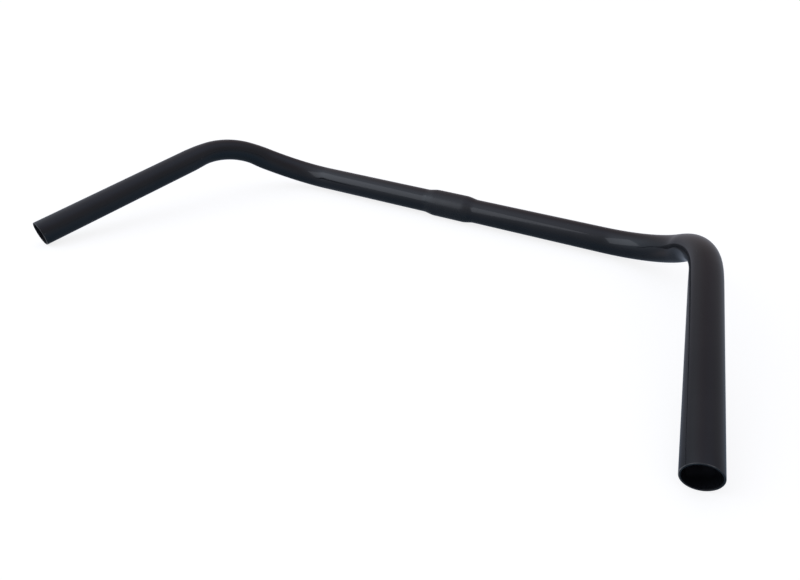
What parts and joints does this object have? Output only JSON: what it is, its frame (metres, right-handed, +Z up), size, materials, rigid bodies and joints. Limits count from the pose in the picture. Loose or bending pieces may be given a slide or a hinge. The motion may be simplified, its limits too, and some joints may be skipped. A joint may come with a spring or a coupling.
{
  "type": "swept-back handlebar",
  "caption": "Gloss-black swept-back steel handlebar: one bent tube with a thicker centre for the stem's clamp and open grip ends.",
  "frame": {"origin": "centre of the clamp seat, on the tube's axis, midway between the grips", "axes": "+X along the clamp seat to the rider's right, +Y forward (the grips go back along -Y), +Z up from the surface that the sleeve and both grip ends rest on"},
  "size_m": [0.5818, 0.2675, 0.0584],
  "materials": {
    "painted_tube": "gloss black paint on steel tube",
    "painted_sleeve": "gloss black paint on the clamp sleeve",
    "painted_braze": "gloss black paint over the braze"
  },
  "bodies": {
    "root": {"bar_tube": "painted_tube", "clamp_sleeve": "painted_sleeve", "left_braze_fillet": "painted_braze", "right_braze_fillet": "painted_braze"}
  },
  "joints": []
}
